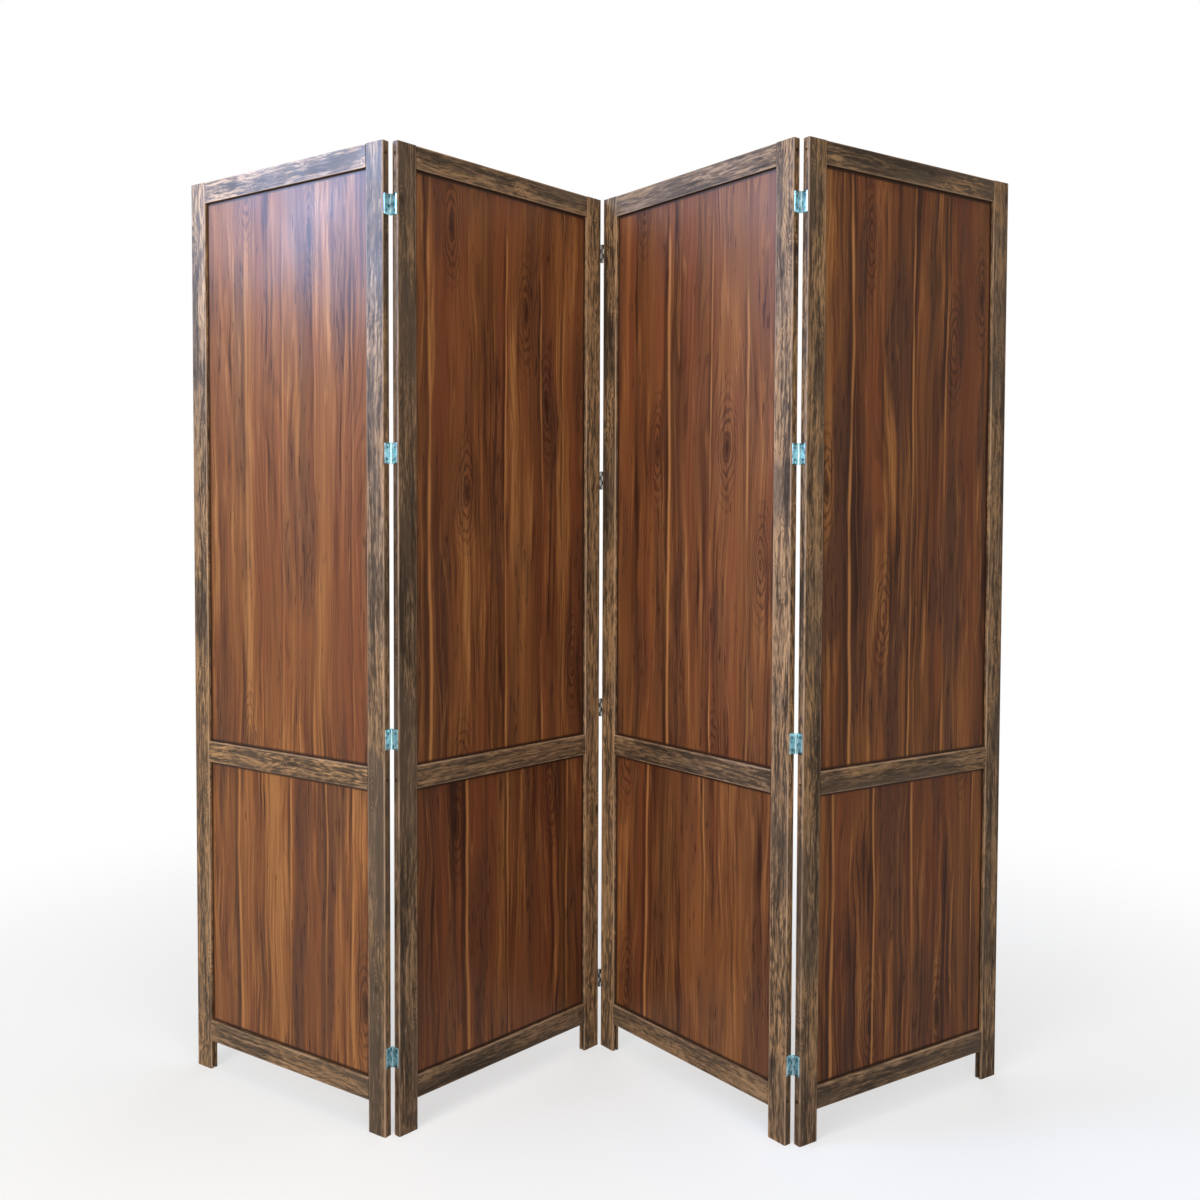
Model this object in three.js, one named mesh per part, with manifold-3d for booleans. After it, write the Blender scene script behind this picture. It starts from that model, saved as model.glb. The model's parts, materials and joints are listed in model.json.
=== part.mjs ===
// Four-panel folding screen: framed panels with thin boards, joined by three rows of butt hinges.
// Units are millimetres, +Z is up, and the panels' front faces look towards -Y.
import * as THREE from "three";
import { mergeVertices } from "three/addons/utils/BufferGeometryUtils.js";
import Module from "manifold-3d";

const wasm = await Module();
wasm.setup();

// ---- Driving sizes -------------------------------------------------------------------------

// Panel frame
const PANEL_HEIGHT = 1700;
const PANEL_WIDTH = 500;
const STOCK_WIDTH = 40; // face of every stile and rail
const STOCK_THICKNESS = 15;
const STOCK_ROUNDING = 2; // radius of the stock's long edges
const FOOT_HEIGHT = 55; // floor to the bottom rail
const MIDDLE_RAIL_HEIGHT = 619; // floor to the rail's centre line

// Boards and their grooves
const BOARD_THICKNESS = 3;
const GROOVE_DEPTH = 6;
const FIT_GAP = 0.3; // clearance between pieces that touch

// Frame screws, one into each end of each rail
const FRAME_SCREW_DEPTH = 12; // stile's outer edge to the underside of the sunken head
const FRAME_SCREW_HEAD_RADIUS = 2.7;
const FRAME_SCREW_HEAD_LENGTH = 2;
const FRAME_SCREW_RADIUS = 1.75;

// Hinges
const HINGE_HEIGHT = 36;
const PLATE_THICKNESS = 1;
const KNUCKLE_COUNT = 4;
const KNUCKLE_RADIUS = 2.1;
const KNUCKLE_GAP = 0.3; // between neighbouring knuckles
const PIN_RADIUS = 1;
const PIN_CLEARANCE = 0.2; // around the pin where the knuckle turns on it
const PIN_END_LENGTH = 0.5; // peened end standing out of the knuckles
const PIN_STAND_OFF = 1; // panel's face to the pin's axis

// Hinge screws, two through each plate
const HINGE_SCREW_SPACING = 20;
const HINGE_SCREW_HEAD_RADIUS = 2.5;
const HINGE_SCREW_HEAD_SINK = 0.3; // plate's surface to the head's
const HINGE_SCREW_RADIUS = 1.1;
const HINGE_SCREW_LENGTH = 12; // in the stile

// Centre heights of the hinges, each from the part of the frame that it was set out from
const TOP_HINGE_DROP = 105; // from the panel's top
const UPPER_HINGE_DROP = 523; // from the panel's top, on the outer two joints
const CENTRE_UPPER_HINGE_DROP = 555; // from the panel's top, on the middle joint
const LOWER_HINGE_RISE = 70; // from the middle rail's centre line
const BOTTOM_HINGE_RISE = 42; // from the bottom rail's top edge

// Standing pose in degrees: each joint's fold away from panels in line
const PANEL_2_HEADING_ANGLE = 47;
const LEFT_FOLD_ANGLE = 80.5;
const CENTRE_FOLD_ANGLE = 98;
const RIGHT_FOLD_ANGLE = 83.5;

// Facets of round shapes
const ROUNDING_SEGMENTS = 3;
const KNUCKLE_SIDES = 10;
const PIN_SIDES = 8;
const FRAME_SCREW_HEAD_SIDES = 10;
const HINGE_SCREW_HEAD_SIDES = 8;
const SHANK_SIDES = 6;

// ---- Sizes that follow from them -----------------------------------------------------------

const GROOVE_WIDTH = BOARD_THICKNESS + 2 * FIT_GAP;
const EDGE_IN_GROOVE = GROOVE_DEPTH - FIT_GAP; // how far boards and tongues enter their grooves
const MID_DEPTH = STOCK_THICKNESS / 2;
const RAIL_START = STOCK_WIDTH + FIT_GAP;

const BOTTOM_RAIL_HEIGHT = FOOT_HEIGHT + STOCK_WIDTH / 2;
const TOP_RAIL_HEIGHT = PANEL_HEIGHT - STOCK_WIDTH / 2;
const BOTTOM_RAIL_TOP = FOOT_HEIGHT + STOCK_WIDTH;
const MIDDLE_RAIL_BOTTOM = MIDDLE_RAIL_HEIGHT - STOCK_WIDTH / 2;
const MIDDLE_RAIL_TOP = MIDDLE_RAIL_HEIGHT + STOCK_WIDTH / 2;
const TOP_RAIL_BOTTOM = PANEL_HEIGHT - STOCK_WIDTH;

const KNUCKLE_PITCH = HINGE_HEIGHT / KNUCKLE_COUNT;
const PIN_OFFSET = FIT_GAP + KNUCKLE_RADIUS; // stile's edge to the pin's axis
const PLATE_START = KNUCKLE_RADIUS + KNUCKLE_GAP; // pin's axis to the flat part of the plate
const PLATE_REACH = STOCK_THICKNESS + PIN_STAND_OFF - STOCK_ROUNDING; // pin's axis to its far edge
const HINGE_SCREW_REACH = (PLATE_START + PLATE_REACH) / 2;
const HINGE_SCREW_RISES = [-HINGE_SCREW_SPACING / 2, HINGE_SCREW_SPACING / 2];

const OUTER_HINGE_HEIGHTS = {
  top: PANEL_HEIGHT - TOP_HINGE_DROP,
  upper: PANEL_HEIGHT - UPPER_HINGE_DROP,
  lower: MIDDLE_RAIL_HEIGHT + LOWER_HINGE_RISE,
  bottom: BOTTOM_RAIL_TOP + BOTTOM_HINGE_RISE,
};
const CENTRE_HINGE_HEIGHTS = {
  ...OUTER_HINGE_HEIGHTS,
  upper: PANEL_HEIGHT - CENTRE_UPPER_HINGE_DROP,
};

// ---- Joints --------------------------------------------------------------------------------

// Each joint hangs one panel on the edge of another. The outer pins stand behind the panels, the
// middle ones in front, so that the screen folds up like a fan.
const JOINTS = {
  left: {
    parent: { panel: 2, edge: "left" },
    child: { panel: 1, edge: "right" },
    pinSide: "back",
    turn: -LEFT_FOLD_ANGLE,
    hingeHeights: OUTER_HINGE_HEIGHTS,
  },
  centre: {
    parent: { panel: 2, edge: "right" },
    child: { panel: 3, edge: "left" },
    pinSide: "front",
    turn: -CENTRE_FOLD_ANGLE,
    hingeHeights: CENTRE_HINGE_HEIGHTS,
  },
  right: {
    parent: { panel: 3, edge: "right" },
    child: { panel: 4, edge: "left" },
    pinSide: "back",
    turn: RIGHT_FOLD_ANGLE,
    hingeHeights: OUTER_HINGE_HEIGHTS,
  },
};

// ---- Materials -----------------------------------------------------------------------------

const finish = (color, roughness, metalness) =>
  new THREE.MeshStandardMaterial({ color, roughness, metalness });
const FRAME_WOOD = finish(0x5a4b3d, 0.5, 0);
const BOARD_WOOD = finish(0x6b412b, 0.4, 0);
const ZINC = finish(0xb4c3ca, 0.35, 0.9);

// ---- Joining and cutting -------------------------------------------------------------------

const MERGE_DISTANCE = 1e-4; // vertices nearer than this are one

function solidFrom(geometry) {
  const bare = geometry.clone();
  bare.deleteAttribute("normal");
  bare.deleteAttribute("uv");
  const merged = mergeVertices(bare, MERGE_DISTANCE);
  const vertProperties = new Float32Array(merged.attributes.position.array);
  const triVerts = new Uint32Array(merged.index.array);
  return new wasm.Manifold(new wasm.Mesh({ numProp: 3, vertProperties, triVerts }));
}

function geometryFrom(solid) {
  const mesh = solid.getMesh();
  const geometry = new THREE.BufferGeometry();
  geometry.setAttribute("position", new THREE.BufferAttribute(mesh.vertProperties, 3));
  geometry.setIndex(new THREE.BufferAttribute(mesh.triVerts, 1));
  geometry.computeVertexNormals();
  return geometry;
}

// One geometry from several that touch, less the cutters.
function shaped(pieces, cutters = []) {
  const whole = pieces.map(solidFrom).reduce((sum, solid) => sum.add(solid));
  const cut = cutters.map(solidFrom).reduce((rest, cutter) => rest.subtract(cutter), whole);
  return geometryFrom(cut);
}

// ---- Plain shapes --------------------------------------------------------------------------

function boxBetween(low, high) {
  const size = high.map((value, axis) => value - low[axis]);
  const centre = high.map((value, axis) => (value + low[axis]) / 2);
  return new THREE.BoxGeometry(...size).translate(...centre);
}

function rodAlongX(radius, sides, [x0, x1], y, z) {
  const rod = new THREE.CylinderGeometry(radius, radius, x1 - x0, sides);
  return rod.rotateZ(-Math.PI / 2).translate((x0 + x1) / 2, y, z);
}

// A rod on the Z axis, with a flat side towards X.
function rodAlongZ(radius, sides, [z0, z1]) {
  const rod = new THREE.CylinderGeometry(radius, radius, z1 - z0, sides);
  const flatTowardsX = Math.PI / 2 + Math.PI / sides;
  return rod.rotateX(Math.PI / 2).rotateZ(flatTowardsX).translate(0, 0, (z0 + z1) / 2);
}

// Turned about the panel's upright middle line, which makes a left end into a right end.
const endForEnd = (geometry) =>
  geometry.clone().rotateZ(Math.PI).translate(PANEL_WIDTH, STOCK_THICKNESS, 0);

// ---- Frame stock ---------------------------------------------------------------------------

// The stock's section: X across its width from the near edge to the far edge, Y from the front to
// the back. Either edge, or both, can have the board's groove.
function stockSection(grooves) {
  const r = STOCK_ROUNDING;
  const w = STOCK_WIDTH;
  const t = STOCK_THICKNESS;
  const grooveFront = MID_DEPTH - GROOVE_WIDTH / 2;
  const grooveBack = MID_DEPTH + GROOVE_WIDTH / 2;
  const section = new THREE.Shape();
  section.moveTo(r, 0);
  section.lineTo(w - r, 0);
  section.absarc(w - r, r, r, -Math.PI / 2, 0);
  if (grooves.farEdge) {
    section.lineTo(w, grooveFront);
    section.lineTo(w - GROOVE_DEPTH, grooveFront);
    section.lineTo(w - GROOVE_DEPTH, grooveBack);
    section.lineTo(w, grooveBack);
  }
  section.lineTo(w, t - r);
  section.absarc(w - r, t - r, r, 0, Math.PI / 2);
  section.lineTo(r, t);
  section.absarc(r, t - r, r, Math.PI / 2, Math.PI);
  if (grooves.nearEdge) {
    section.lineTo(0, grooveBack);
    section.lineTo(GROOVE_DEPTH, grooveBack);
    section.lineTo(GROOVE_DEPTH, grooveFront);
    section.lineTo(0, grooveFront);
  }
  section.lineTo(0, r);
  section.absarc(r, r, r, Math.PI, 1.5 * Math.PI);
  return section;
}

function stockLength(grooves, length) {
  const options = { depth: length, bevelEnabled: false, curveSegments: ROUNDING_SEGMENTS };
  return new THREE.ExtrudeGeometry(stockSection(grooves), options);
}

// ---- Stiles --------------------------------------------------------------------------------

// Stepped hole for a frame screw, from the outer edge at X = 0 through to the inner edge.
function frameScrewHole(height) {
  const headRadius = FRAME_SCREW_HEAD_RADIUS + FIT_GAP;
  const shankRadius = FRAME_SCREW_RADIUS + FIT_GAP;
  const mouth = [-FIT_GAP, FRAME_SCREW_DEPTH];
  const through = [-FIT_GAP, STOCK_WIDTH + FIT_GAP];
  return [
    rodAlongX(headRadius, FRAME_SCREW_HEAD_SIDES, mouth, MID_DEPTH, height),
    rodAlongX(shankRadius, SHANK_SIDES, through, MID_DEPTH, height),
  ];
}

function pilotHoles(hingeHeight, screwDepth) {
  const radius = HINGE_SCREW_RADIUS + FIT_GAP;
  const span = [-FIT_GAP, HINGE_SCREW_LENGTH + FIT_GAP];
  return HINGE_SCREW_RISES.map((rise) =>
    rodAlongX(radius, SHANK_SIDES, span, screwDepth, hingeHeight + rise),
  );
}

// A left stile with its outer edge at X = 0. A right stile is one of these turned end for end.
function stileGeometry(hingeHeights, screwDepth) {
  const stock = stockLength({ farEdge: true }, PANEL_HEIGHT);
  const frameHoles = [BOTTOM_RAIL_HEIGHT, MIDDLE_RAIL_HEIGHT, TOP_RAIL_HEIGHT].flatMap(frameScrewHole);
  const hingeHoles = hingeHeights.flatMap((height) => pilotHoles(height, screwDepth));
  return shaped([stock], [...frameHoles, ...hingeHoles]);
}

// ---- Rails ---------------------------------------------------------------------------------

// A rail's left end: the stub tongue, and the frame screw that was driven in through the stile.
function railEnd(height) {
  const root = STOCK_WIDTH + GROOVE_DEPTH; // both run on into the rail's body
  const tongueFront = MID_DEPTH - BOARD_THICKNESS / 2;
  const tongueBack = MID_DEPTH + BOARD_THICKNESS / 2;
  const tongueRise = STOCK_WIDTH / 2 - EDGE_IN_GROOVE - 2 * FIT_GAP;
  const headUnderside = FRAME_SCREW_DEPTH - FIT_GAP;
  const headTop = headUnderside - FRAME_SCREW_HEAD_LENGTH;
  const headSpan = [headTop, headUnderside];
  const shankSpan = [(headTop + headUnderside) / 2, root];
  return [
    boxBetween(
      [STOCK_WIDTH - EDGE_IN_GROOVE, tongueFront, height - tongueRise],
      [root, tongueBack, height + tongueRise],
    ),
    rodAlongX(FRAME_SCREW_HEAD_RADIUS, FRAME_SCREW_HEAD_SIDES, headSpan, MID_DEPTH, height),
    rodAlongX(FRAME_SCREW_RADIUS, SHANK_SIDES, shankSpan, MID_DEPTH, height),
  ];
}

// The stock lies along X with its near edge upwards.
function railGeometry(height, grooves) {
  const length = PANEL_WIDTH - 2 * RAIL_START;
  const stock = stockLength(grooves, length)
    .rotateY(Math.PI / 2)
    .translate(RAIL_START, 0, height + STOCK_WIDTH / 2);
  const leftEnd = railEnd(height);
  return shaped([stock, ...leftEnd, ...leftEnd.map(endForEnd)]);
}

// ---- Boards --------------------------------------------------------------------------------

// A board for the opening between two rails, with its edges in the grooves all round.
function boardGeometry(openingBottom, openingTop) {
  const side = STOCK_WIDTH - EDGE_IN_GROOVE;
  const front = MID_DEPTH - BOARD_THICKNESS / 2;
  const back = MID_DEPTH + BOARD_THICKNESS / 2;
  return boxBetween(
    [side, front, openingBottom - EDGE_IN_GROOVE],
    [PANEL_WIDTH - side, back, openingTop + EDGE_IN_GROOVE],
  );
}

// ---- Hinges --------------------------------------------------------------------------------

// A plate is drawn with the pin's axis on the Z axis, the stile on its +X side and its far edge
// towards -Y. The pin plate has every other knuckle, from the lowest, and the free plate has the
// rest. A plate that is mounted upside down is drawn with its knuckles counted from the top.
function knuckleSpans(first, upsideDown) {
  const spans = [];
  for (let index = first; index < KNUCKLE_COUNT; index += 2) {
    const low = -HINGE_HEIGHT / 2 + index * KNUCKLE_PITCH + KNUCKLE_GAP / 2;
    const high = low + KNUCKLE_PITCH - KNUCKLE_GAP;
    spans.push(upsideDown ? [-high, -low] : [low, high]);
  }
  return spans;
}

function plateGeometry(hasPin, upsideDown) {
  const outer = KNUCKLE_RADIUS - PLATE_THICKNESS;
  const spans = knuckleSpans(hasPin ? 0 : 1, upsideDown);
  const halfHeight = HINGE_HEIGHT / 2;
  const pieces = [
    boxBetween([outer, -PLATE_REACH, -halfHeight], [KNUCKLE_RADIUS, -PLATE_START, halfHeight]),
    ...spans.map(([low, high]) => boxBetween([outer, -PLATE_REACH, low], [KNUCKLE_RADIUS, 0, high])),
    ...spans.map((span) => rodAlongZ(KNUCKLE_RADIUS, KNUCKLE_SIDES, span)),
    ...HINGE_SCREW_RISES.map(hingeScrewShank),
  ];
  const recesses = HINGE_SCREW_RISES.map(hingeScrewRecess);
  const pinEnd = halfHeight + PIN_END_LENGTH;
  if (hasPin) {
    const pin = rodAlongZ(PIN_RADIUS, PIN_SIDES, [-pinEnd, pinEnd]);
    return shaped([...pieces, pin], recesses);
  }
  const bore = rodAlongZ(PIN_RADIUS + PIN_CLEARANCE, PIN_SIDES, [-pinEnd, pinEnd]);
  return shaped(pieces, [...recesses, bore]);
}

// The shank runs from inside the plate, where its head fills the countersink, into the stile.
function hingeScrewShank(rise) {
  const span = [KNUCKLE_RADIUS - PLATE_THICKNESS / 2, PIN_OFFSET + HINGE_SCREW_LENGTH];
  return rodAlongX(HINGE_SCREW_RADIUS, SHANK_SIDES, span, -HINGE_SCREW_REACH, rise);
}

function hingeScrewRecess(rise) {
  const surface = KNUCKLE_RADIUS - PLATE_THICKNESS;
  const span = [surface - FIT_GAP, surface + HINGE_SCREW_HEAD_SINK];
  return rodAlongX(HINGE_SCREW_HEAD_RADIUS, HINGE_SCREW_HEAD_SIDES, span, -HINGE_SCREW_REACH, rise);
}

// Where a joint's pin stands in the frame of a panel that it is on.
function pinPosition(edge, pinSide) {
  const x = edge === "left" ? -PIN_OFFSET : PANEL_WIDTH + PIN_OFFSET;
  const y = pinSide === "front" ? -PIN_STAND_OFF : STOCK_THICKNESS + PIN_STAND_OFF;
  return new THREE.Vector3(x, y, 0);
}

// How a plate is turned to lie on a panel's edge: half a turn about the axis named, if any.
const PLATE_TURNS = {
  left: { back: null, front: "x" },
  right: { back: "y", front: "z" },
};

function plateMesh(name, edge, pinSide, height, hasPin) {
  const turnAxis = PLATE_TURNS[edge][pinSide];
  const upsideDown = turnAxis === "x" || turnAxis === "y";
  const plate = new THREE.Mesh(plateGeometry(hasPin, upsideDown), ZINC);
  plate.name = name;
  plate.position.copy(pinPosition(edge, pinSide)).setZ(height);
  if (turnAxis) plate.rotation[turnAxis] = Math.PI;
  return plate;
}

// ---- Panels --------------------------------------------------------------------------------

// The hinges on one edge of a panel: their heights, and the side of the panel that has the pins.
function hingesOn(panel, edge) {
  for (const { parent, child, pinSide, hingeHeights } of Object.values(JOINTS)) {
    const isOnEdge = [parent, child].some((end) => end.panel === panel && end.edge === edge);
    if (isOnEdge) return { pinSide, heights: Object.values(hingeHeights) };
  }
  return { pinSide: "back", heights: [] };
}

function stileMesh(panel, edge) {
  const { pinSide, heights } = hingesOn(panel, edge);
  const depthFromBack = HINGE_SCREW_REACH - PIN_STAND_OFF;
  const isNearBack = (edge === "left") === (pinSide === "back");
  const screwDepth = isNearBack ? STOCK_THICKNESS - depthFromBack : depthFromBack;
  const stile = new THREE.Mesh(stileGeometry(heights, screwDepth), FRAME_WOOD);
  if (edge === "right") {
    stile.rotation.z = Math.PI;
    stile.position.set(PANEL_WIDTH, STOCK_THICKNESS, 0);
  }
  return stile;
}

function panelGroup(number) {
  const pieces = {
    left_stile: stileMesh(number, "left"),
    right_stile: stileMesh(number, "right"),
    top_rail: new THREE.Mesh(railGeometry(TOP_RAIL_HEIGHT, { farEdge: true }), FRAME_WOOD),
    middle_rail: new THREE.Mesh(
      railGeometry(MIDDLE_RAIL_HEIGHT, { nearEdge: true, farEdge: true }),
      FRAME_WOOD,
    ),
    bottom_rail: new THREE.Mesh(railGeometry(BOTTOM_RAIL_HEIGHT, { nearEdge: true }), FRAME_WOOD),
    upper_board: new THREE.Mesh(boardGeometry(MIDDLE_RAIL_TOP, TOP_RAIL_BOTTOM), BOARD_WOOD),
    lower_board: new THREE.Mesh(boardGeometry(BOTTOM_RAIL_TOP, MIDDLE_RAIL_BOTTOM), BOARD_WOOD),
  };
  const panel = new THREE.Group();
  for (const [piece, mesh] of Object.entries(pieces)) {
    mesh.name = `panel_${number}_${piece}`;
    panel.add(mesh);
  }
  return panel;
}

// ---- Screen --------------------------------------------------------------------------------

const panels = { 1: panelGroup(1), 2: panelGroup(2), 3: panelGroup(3), 4: panelGroup(4) };

for (const [jointName, joint] of Object.entries(JOINTS)) {
  const { parent, child, pinSide, hingeHeights } = joint;
  for (const [level, height] of Object.entries(hingeHeights)) {
    const hinge = `${jointName}_${level}_hinge`;
    panels[parent.panel].add(plateMesh(`${hinge}_pin_plate`, parent.edge, pinSide, height, true));
    panels[child.panel].add(plateMesh(`${hinge}_free_plate`, child.edge, pinSide, height, false));
  }
  const pivot = new THREE.Group();
  pivot.name = `${jointName}_joint`;
  pivot.position.copy(pinPosition(parent.edge, pinSide));
  pivot.rotation.z = THREE.MathUtils.degToRad(joint.turn);
  panels[child.panel].position.copy(pinPosition(child.edge, pinSide)).negate();
  pivot.add(panels[child.panel]);
  panels[parent.panel].add(pivot);
}
panels[2].rotation.z = THREE.MathUtils.degToRad(PANEL_2_HEADING_ANGLE);

// The origin is on the floor, in the middle of the standing screen's outline.
const outline = new THREE.Box3().setFromObject(panels[2], true);
const middle = outline.getCenter(new THREE.Vector3());
panels[2].position.set(-middle.x, -middle.y, 0);

const screen = new THREE.Group();
screen.add(panels[2]);

export default screen;
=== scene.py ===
# Four-panel folding screen: the finish of its wood and zinc, its rolled hinges, and a plain studio.
import json
import math

import bmesh
import bpy
from mathutils import Matrix, Vector


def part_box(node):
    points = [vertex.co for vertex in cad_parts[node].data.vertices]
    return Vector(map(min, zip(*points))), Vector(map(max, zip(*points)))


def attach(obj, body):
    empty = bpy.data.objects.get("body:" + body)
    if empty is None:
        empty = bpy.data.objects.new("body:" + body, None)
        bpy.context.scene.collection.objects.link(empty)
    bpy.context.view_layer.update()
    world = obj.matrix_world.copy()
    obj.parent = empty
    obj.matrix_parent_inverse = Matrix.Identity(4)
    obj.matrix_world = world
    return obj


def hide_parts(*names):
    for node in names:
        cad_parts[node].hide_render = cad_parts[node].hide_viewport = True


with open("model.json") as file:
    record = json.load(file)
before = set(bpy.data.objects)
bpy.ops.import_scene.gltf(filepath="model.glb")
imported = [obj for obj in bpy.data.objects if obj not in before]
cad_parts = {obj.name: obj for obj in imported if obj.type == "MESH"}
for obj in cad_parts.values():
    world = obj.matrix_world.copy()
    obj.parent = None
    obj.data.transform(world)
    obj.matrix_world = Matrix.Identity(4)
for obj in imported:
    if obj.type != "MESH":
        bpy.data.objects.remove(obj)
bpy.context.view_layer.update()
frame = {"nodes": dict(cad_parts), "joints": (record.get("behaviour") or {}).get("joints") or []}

MM = 0.001

# ---- Sizes that the construction gives, in metres -------------------------------------------

PANEL_WIDTH = 500 * MM
STOCK_WIDTH = 40 * MM
STOCK_THICKNESS = 15 * MM
STOCK_ROUNDING = 2 * MM
GROOVE_BITE = 5.7 * MM  # how far a board's edge stands in its groove
RAIL_HEIGHTS = {"top": 1680 * MM, "middle": 619 * MM, "bottom": 75 * MM}

HINGE_HEIGHT = 36 * MM
PLATE_THICKNESS = 1 * MM
PLATE_START = 2.4 * MM  # pin's axis to the flat part of the plate
PLATE_REACH = 14 * MM  # pin's axis to the plate's far edge
KNUCKLE_COUNT = 4
KNUCKLE_RADIUS = 2.1 * MM
KNUCKLE_GAP = 0.3 * MM
PIN_RADIUS = 1 * MM
PIN_LENGTH = 37 * MM
PIN_OFFSET = 2.4 * MM  # stile's edge to the pin's axis
PIN_STAND_OFF = 1 * MM  # panel's face to the pin's axis
SCREW_RISES = (-10 * MM, 10 * MM)
SCREW_REACH = (PLATE_START + PLATE_REACH) / 2

PANEL_HEADINGS = {1: -33.5, 2: 47.0, 3: -51.0, 4: 32.5}  # degrees
PIN_PLACES = {
    ("left", "back"): (-PIN_OFFSET, STOCK_THICKNESS + PIN_STAND_OFF),
    ("left", "front"): (-PIN_OFFSET, -PIN_STAND_OFF),
    ("right", "back"): (PANEL_WIDTH + PIN_OFFSET, STOCK_THICKNESS + PIN_STAND_OFF),
    ("right", "front"): (PANEL_WIDTH + PIN_OFFSET, -PIN_STAND_OFF),
}
# Each joint's two sides: the plate's kind, its panel, and the edge and face that its pin is at.
JOINT_PLATES = {
    "left": (("pin_plate", 2, "left", "back"), ("free_plate", 1, "right", "back")),
    "centre": (("pin_plate", 2, "right", "front"), ("free_plate", 3, "left", "front")),
    "right": (("pin_plate", 3, "right", "back"), ("free_plate", 4, "left", "back")),
}
HINGE_LEVELS = ("top", "upper", "lower", "bottom")


def joint_place(joint_name):
    joint = next(joint for joint in frame["joints"] if joint["name"] == joint_name)
    return Vector(joint["pos_m"])


def panel_place(number):
    """The panel's own frame in the object's: X along its heading, Y from front to back."""
    for joint, plates in JOINT_PLATES.items():
        for _, panel, edge, face in plates:
            if panel == number:
                turn = Matrix.Rotation(math.radians(PANEL_HEADINGS[number]), 4, "Z")
                origin = joint_place(f"{joint}_joint") - turn @ Vector((*PIN_PLACES[edge, face], 0))
                return Matrix.Translation(origin) @ turn


PANEL_PLACES = {number: panel_place(number) for number in PANEL_HEADINGS}


def height_span(node):
    low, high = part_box(node)
    return low[2], high[2]


def mid_height(node):
    return sum(height_span(node)) / 2


# ---- Shader helpers ---------------------------------------------------------------------------


class Nodes:
    """Adds nodes to one tree, with their inputs set or linked by name."""

    def __init__(self, tree):
        self.tree = tree

    def add(self, kind, inputs=None, **settings):
        node = self.tree.nodes.new(kind)
        for name, value in settings.items():
            setattr(node, name, value)
        for name, value in (inputs or {}).items():
            self.feed(node.inputs[name], value)
        return node

    def feed(self, socket, value):
        if isinstance(value, bpy.types.NodeSocket):
            self.tree.links.new(value, socket)
        elif socket.type == "RGBA":
            socket.default_value = (*value, 1.0)
        else:
            socket.default_value = value

    def first(self, node_type):
        return next(node for node in self.tree.nodes if node.type == node_type)

    def math(self, operation, *values):
        node = self.add("ShaderNodeMath", operation=operation)
        for socket, value in zip(node.inputs, values):
            self.feed(socket, value)
        return node.outputs["Value"]

    def scaled(self, vector, scales):
        node = self.add("ShaderNodeVectorMath", operation="MULTIPLY")
        self.feed(node.inputs[0], vector)
        self.feed(node.inputs[1], scales)
        return node.outputs["Vector"]

    def parts(self, vector):
        outputs = self.add("ShaderNodeSeparateXYZ", {"Vector": vector}).outputs
        return outputs["X"], outputs["Y"], outputs["Z"]

    def vector(self, x=0.0, y=0.0, z=0.0):
        return self.add("ShaderNodeCombineXYZ", {"X": x, "Y": y, "Z": z}).outputs["Vector"]

    def noise(self, vector, seed, scale, detail=2.0, roughness=0.5, distortion=0.0):
        inputs = {"Vector": vector, "W": seed, "Scale": scale, "Detail": detail,
                  "Roughness": roughness, "Distortion": distortion}
        return self.add("ShaderNodeTexNoise", inputs, noise_dimensions="4D").outputs["Fac"]

    def pattern(self, vector, seed, figures, detail=2.0):
        """Noise drawn out along the grain, from its figures: seed's shift, density and stretch."""
        shift, density, stretch = figures
        own_seed = self.math("ADD", seed, shift)
        return self.noise(self.scaled(vector, (1.0, 1.0, 1.0 / stretch)), own_seed, density, detail)

    def centred(self, value, width):
        """The value's difference from a half, times the width."""
        return self.math("MULTIPLY", self.math("SUBTRACT", value, 0.5), width)

    def ramp(self, value, start, end, low=0.0, high=1.0):
        """Low up to start, high from end on, and a smooth slope between them."""
        inputs = {"Value": value, "From Min": start, "From Max": end, "To Min": low, "To Max": high}
        node = self.add("ShaderNodeMapRange", inputs, interpolation_type="SMOOTHSTEP")
        return node.outputs["Result"]

    def weighted(self, base, *terms):
        """The base plus each value's difference from a half, times its weight."""
        total = base - sum(weight for value, weight in terms) / 2
        for value, weight in terms:
            total = self.math("MULTIPLY_ADD", value, weight, total)
        return total

    def tones(self, value, stops):
        node = self.add("ShaderNodeValToRGB", {"Fac": value})
        elements = node.color_ramp.elements
        while len(elements) < len(stops):
            elements.new(1.0)
        for element, (position, colour) in zip(elements, stops):
            element.position = position
            element.color = (*colour, 1.0)
        return node.outputs["Color"]

    def mix(self, share, first, second):
        node = self.add("ShaderNodeMix", data_type="RGBA")
        colour_inputs = [socket for socket in node.inputs if socket.type == "RGBA"]
        self.feed(node.inputs["Factor"], share)
        for socket, colour in zip(colour_inputs, (first, second)):
            self.feed(socket, colour)
        return next(socket for socket in node.outputs if socket.type == "RGBA")

    def laid_over(self, colour, mask, strength, over):
        """The colour with another over it, by the mask times the strength."""
        return self.mix(self.math("MULTIPLY", mask, strength), colour, over)

    def group(self, tree, inputs):
        return self.add("ShaderNodeGroup", inputs, node_tree=tree).outputs

    def bump(self, height, distance):
        inputs = {"Height": height, "Strength": 1.0, "Distance": distance}
        return self.add("ShaderNodeBump", inputs).outputs["Normal"]


FLOAT, VECTOR, COLOUR = "NodeSocketFloat", "NodeSocketVector", "NodeSocketColor"


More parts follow.
